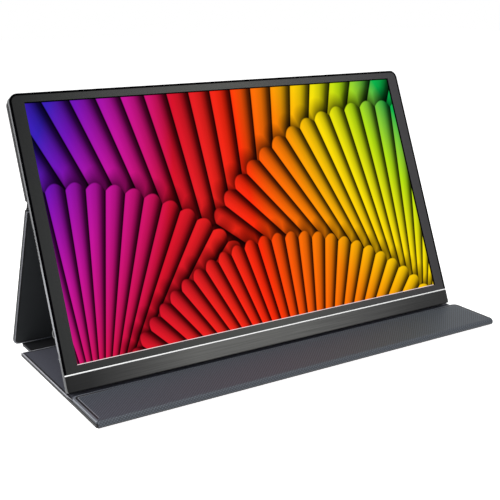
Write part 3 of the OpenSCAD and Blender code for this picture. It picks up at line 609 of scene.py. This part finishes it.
button_metal = button()
bright_line = cut_edge()
housing = blasted()
leather_out = leather("Artificial leather, fine twill grain", "#21262c", "#565d67",
                      "#aeaeb4", "#060607", 0.55, 1.7, 0.08)
leather_in = leather("Microfibre lining, brushed", "#42434e", "#585964", "#96969c",
                     "#141417", 0.85, 1.1, 0.04)
# The same lining, darker all over as painted shade, for the leg's inner face
lining_painted_shade = leather("Microfibre lining, dark", "#171a1d", "#202427", "#96969c",
                       "#101012", 0.85, 1.1, 0.04)
# Thinner leather at the rear folds, darker all over as painted shade
fold_leather_painted_shade = leather("Artificial leather at the folds", "#0e0f12", "#1c1d21", "#55555a",
                       "#0c0c0e", 0.6, 1.7, 0.06)
# Nickel-plated steel, drawn and folded: bright, a little cloudy
plated = plain("Nickel-plated steel sheet", "#a9abae", "#c6c8cb", 0.3, 1.0, pitch=4)
# Cold-rolled sheet steel: dull grey with rolling lines along its length
sheet_steel = plain("Cold-rolled steel sheet", "#83868a", "#a3a6aa", 0.45, 0.9, pitch=3,
                    stretch=(0.05, 1, 1), turned=True)
# Moulded ABS, black, with a satin skin from the tool
black_plastic = plain("Moulded ABS, black", "#17181a", "#232427", 0.5, pitch=1.2)
# Glass-fibre board under green solder mask: a gloss green with a faint weave
circuit_board = plain("Glass-fibre board, green mask", "#124a2c", "#1f6b42", 0.35, pitch=1.5)
# Polyimide film with copper inside: translucent amber that reads as plain amber
flat_cable = plain("Polyimide film cable", "#a06a1c", "#c48a34", 0.3, pitch=6)
# Milky polyester films behind the glass
optical_film = plain("Polyester diffuser film", "#e4e7ea", "#f2f4f5", 0.6, pitch=8)
# Cast acrylic light guide: clear, with a cold cut edge
clear_acrylic = plain("Cast acrylic", "#cfe0e8", "#deecf2", 0.12, pitch=10, deep=0.0,
                      **{"Transmission Weight": 0.6, "IOR": 1.49})
# Moulded polycarbonate pin that carries the status light out
clear_pin = plain("Moulded polycarbonate, clear", "#dfe7ea", "#f2f6f7", 0.15, pitch=1,
                  deep=0.0, **{"Transmission Weight": 0.5, "IOR": 1.58})
# Pressed fibre board inside the cover: brown-grey with short fibres
stiff_board = plain("Pressed fibre board", "#7c7468", "#9a9184", 0.9, pitch=0.8, deep=0.04,
                    stretch=(0.4, 1, 1))

slot_material = {
    "housing_metal": housing, "bezel_plastic": bezel(), "brushed_strip": brushed_strip(),
    "bright_line": bright_line, "display_glass": display(), "optical_film": optical_film,
    "clear_acrylic": clear_acrylic, "circuit_board": circuit_board,
    "sheet_steel": sheet_steel, "flat_cable": flat_cable, "black_plastic": black_plastic,
    "button_metal": button_metal, "clear_pin": clear_pin, "magnet_metal": plated,
    "cover_leather": leather_out, "cover_lining": leather_in, "stiff_board": stiff_board,
}
for part in frame["record"]["subparts"]:
    node = frame["nodes"][part["node"]]
    node.data.materials.clear()
    node.data.materials.append(slot_material[part["material_slot"]])
for name in ("usb_c_socket_lower", "usb_c_socket_upper", "mini_video_socket"):
    frame["nodes"][name].data.materials[0] = plated


# ------------------------------------------------------------------ the cover

def in_side(p):
    """The point or direction of the side view (y, z) in the middle of the width."""
    return np.array([0.0, float(p[0]), float(p[1])])


FORWARD, UPWARD = in_side((1, 0)), in_side((0, 1))
out = np.array([-LEG[1], LEG[0]])
# Painted highlight (above 0) or painted shade (below 0) at a panel's edge: at its outer face,
# its side, inner face and hem
painted_edge_tints = {"base": (-1, -1, 1, 0.9), "flap": (0.2, -0.1, -1, 0), "strip": (0, 0, 0, 0),
              "leg": (-1, -1, 0.5, 0.35), "upper": (-1, -1, -1, 0)}
panels = {
    # width, length, corner radii, creased ends with their reach, (origin, along, up), body
    "base": (COVER_W, BASE_DEPTH - FOLD_R, (SQUARE, BASE_CORNER),
             [(0, PANEL_REACH), (1, STRIP_REACH)],
             (in_side((FOLD_Y, 0)), FORWARD, UPWARD), "base_cover"),
    "flap": (COVER_W, FLAP_LEN - FOLD_R, (SQUARE, CORNER), [(0, PANEL_REACH)],
             (in_side((FOLD_Y, 2 * T + FOLD_GAP)), FORWARD, -UPWARD), "front_flap"),
    "strip": (STRIP_W, STRIP_LEN, (SQUARE, SQUARE), [(0, STRIP_REACH), (1, STRIP_REACH)],
              (in_side((STRIP_START, 0)), FORWARD, UPWARD), "base_cover"),
    "leg": (COVER_W, LEG_RUN - LEG_STOP - LEG_START, (CORNER, SQUARE),
            [(0, STRIP_REACH), (1, PANEL_REACH)],
            (in_side(HINGE + LEG_START * LEG - T / 2 * out), in_side(LEG), in_side(out)),
            "leg"),
    "upper": (COVER_W, UPPER_LEN, (SQUARE, CORNER), [(0, PANEL_REACH)],
              (in_side(FOOT + (UPPER_T + T) * BACK + UPPER_LOW * UP), in_side(UP),
               in_side(-BACK)), "screen_unit"),
}
# Each panel's edges take their painted highlights and shade, and the base's sides take painted
# shade as far along as the flap lies on it
for name, (width, length, radii, creased, place, body) in panels.items():
    outer_leather = fold_leather_painted_shade if name == "strip" else leather_out
    skin = panel(name + "_leather", wrap_profile(*painted_edge_tints[name]), width, length, radii,
                 creased, place, body, outer_leather,
                 FLAP_LEN if name == "base" else 0.0)
    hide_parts(name + "_skin")
    lining = {"strip": fold_leather_painted_shade, "leg": lining_painted_shade}.get(name, leather_in)
    inner = panel(name + "_inner_face", lining_profile(), width, length, radii, creased,
                  place, body, lining)
    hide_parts(name + "_lining")

# Folded front edge: half a circle from the flap's outer face round to the base's
turn = np.radians(np.linspace(90, 270, 25))
spokes = np.stack([np.cos(turn), np.sin(turn)], axis=1)
fold_mid = np.array([FOLD_Y, FOLD_R])
FOLD_END_T = 2.2             # the leather's thickness where it meets the two panels


def front_fold():
    """Half a ring about the fold's middle. Its outer radius is FOLD_R less faint wrinkles, a
    product of two sines along X, and its inner one is FOLD_R less the leather's thickness,
    which grows towards both panels. It takes painted shade on its lower part, where it
    turns in under the base, and a faint painted highlight over the rest."""
    count, half_width = 41, COVER_W / 2 - SQUARE
    share = np.linspace(0, 1, len(turn))
    middle = smooth(share / 0.22) * smooth((1 - share) / 0.22)
    thick = FOLD_END_T - (FOLD_END_T - CREASE_T) * middle
    x = np.linspace(-half_width, half_width, count)
    wrinkle = 0.04 * (np.sin(x / 2.9) * np.sin(x / 8.3 + 0.4) - 1)[:, None] * middle
    outer = fold_mid + spokes * (FOLD_R + wrinkle)[..., None]
    inner = np.broadcast_to(fold_mid + spokes * (FOLD_R - thick)[:, None], outer.shape)
    section = np.concatenate([outer, inner[:, ::-1]], axis=1)
    rings = np.concatenate([
        np.broadcast_to(x[:, None, None], section.shape[:2] + (1,)), section], axis=2)
    run = np.concatenate([share, 2 - share[::-1]]) * math.pi * FOLD_R
    uv = np.stack([np.broadcast_to(x[:, None], section.shape[:2]),
                   np.broadcast_to(run, section.shape[:2])], axis=-1)
    # a faint painted highlight, and painted shade on the lower part
    tint = 0.02 * smooth(share / 0.2) - 1.0 * smooth((share - 0.62) / 0.14)
    return shell("front_crease_leather", rings, uv, np.concatenate([tint, tint[::-1]]), None,
                 leather_out)


fold = front_fold()
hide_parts("front_crease")
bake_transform(fold)

# Flat leather between the base panel and the strip behind it
flat_start, flat_end = np.array([BASE_DEPTH / 2, T / 2]), np.array([STRIP_START, T / 2])
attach(crease("base_crease", *bend(flat_start, (flat_start + flat_end) / 2, flat_end),
               STRIP_W / 2, fold_leather_painted_shade), "base_cover")

# Leather that bends up from the strip to the leg
low_start, low_end = HINGE - [HINGE_SIDE, 0], HINGE + (LEG_START - SEAM) * LEG
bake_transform(crease("leg_crease", *bend(low_start, HINGE, low_end), STRIP_W / 2, fold_leather_painted_shade,
                ends=T / 2))

# Leather over the top crease, from the leg to the panel that the monitor is held on
top_start = HINGE + (LEG_RUN - LEG_STOP) * LEG
top_end = FOOT + (UPPER_LOW - SEAM) * UP + (UPPER_T + T / 2) * BACK
slant = math.acos(float(LEG @ UP))
top_meet = top_start + (LEG_STOP + (KNEE_DEEP - UPPER_T - T / 2) / math.sin(slant)) * LEG
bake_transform(crease("upper_crease", *bend(top_start, top_meet, top_end), COVER_W / 2 - SQUARE,
                leather_out))


# ------------------------------------------------------------------ studio

scene = bpy.context.scene
scene.view_settings.view_transform = "Standard"


def looked_at(tree):
    """1 for the rays by which the camera, a reflection or a clear piece sees a surface."""
    path = put(tree, "ShaderNodeLightPath")
    either = put(tree, "ShaderNodeMath",
                 {0: path.outputs["Is Camera Ray"], 1: path.outputs["Is Glossy Ray"]},
                 operation="MAXIMUM")
    return put(tree, "ShaderNodeMath", {0: either, 1: path.outputs["Is Transmission Ray"]},
               operation="MAXIMUM")


def backdrop(name, level, seen):
    """White where it is looked at, and a plain level of light otherwise."""
    world = bpy.data.worlds.new(name)
    world.use_nodes = True
    tree = world.node_tree
    tree.nodes.clear()
    looked = looked_at(tree)
    strength = put(tree, "ShaderNodeMapRange",
                   {"Value": looked, "To Min": level, "To Max": seen})
    light = put(tree, "ShaderNodeBackground", {"Color": (1, 1, 1, 1), "Strength": strength})
    put(tree, "ShaderNodeOutputWorld", {"Surface": light})
    return world


scene.world = backdrop("studio", 0.4, 1.0)


def floor():
    """A wide level plane just under the cover. Its own colour keeps the object's shadow, and
    what the camera sees of it is lifted to white."""
    material, tree = new_material("Matt white paper")
    looked = looked_at(tree)
    paper = put(tree, "ShaderNodeBsdfDiffuse", {"Color": linear("#c9c9c9")})
    lift = put(tree, "ShaderNodeMath", {0: looked, 1: 0.9}, operation="MULTIPLY")
    glow = put(tree, "ShaderNodeEmission", {"Color": (1, 1, 1, 1), "Strength": lift})
    output(tree, put(tree, "ShaderNodeAddShader", {0: paper, 1: glow}))
    size, level = 4.0, -0.0002      # half its width and its height, in metres
    corners = [(x * size, y * size, level) for x, y in ((-1, -1), (1, -1), (1, 1), (-1, 1))]
    mesh = bpy.data.meshes.new("table")
    mesh.from_pydata(corners, [], [(0, 1, 2, 3)])
    mesh.materials.append(material)
    plane = bpy.data.objects.new("table", mesh)
    scene.collection.objects.link(plane)


floor()


def lamp(name, place, target, size, watts):
    """A soft square lamp that faces its target."""
    data = bpy.data.lights.new(name, "AREA")
    data.size = size
    data.energy = watts
    lamp_object = bpy.data.objects.new(name, data)
    way = np.array(target, float) - np.array(place, float)
    yaw = math.atan2(way[1], way[0]) - math.pi / 2
    tilt = math.atan2(math.hypot(way[0], way[1]), -way[2])
    lamp_object.location = place
    lamp_object.rotation_euler = (tilt, 0, yaw)
    scene.collection.objects.link(lamp_object)


lamp("left", (-1.5, 0.15, 0.5), (0, 0, 0.05), 0.8, 24)
lamp("top", (-0.2, -0.2, 1.6), (0, 0, 0.05), 1.4, 14)
lamp("front", (-0.75, -1.35, 0.5), (0, 0, 0.08), 1.0, 9)

# Camera: solved from the corners of the picture, the monitor and the cover
azimuth, elevation, roll = math.radians(-32.77), math.radians(16.13), math.radians(0.25)
back = np.array([math.sin(azimuth) * math.cos(elevation),
                 -math.cos(azimuth) * math.cos(elevation), math.sin(elevation)])
right = np.cross(-back, [0, 0, 1])
right = right / np.linalg.norm(right)
up = np.cross(right, -back)
turned_right = math.cos(roll) * right + math.sin(roll) * up
turned_up = math.cos(roll) * up - math.sin(roll) * right
matrix = np.eye(4)
matrix[:3, :3] = np.column_stack([turned_right, turned_up, back])
matrix[:3, 3] = (-0.4009, -0.5945, 0.2845)
camera_data = bpy.data.cameras.new("camera")
camera_data.lens = 66.68
camera_data.sensor_width = 36
camera = bpy.data.objects.new("camera", camera_data)
scene.collection.objects.link(camera)
camera.matrix_world = Matrix(matrix.tolist())
scene.camera = camera
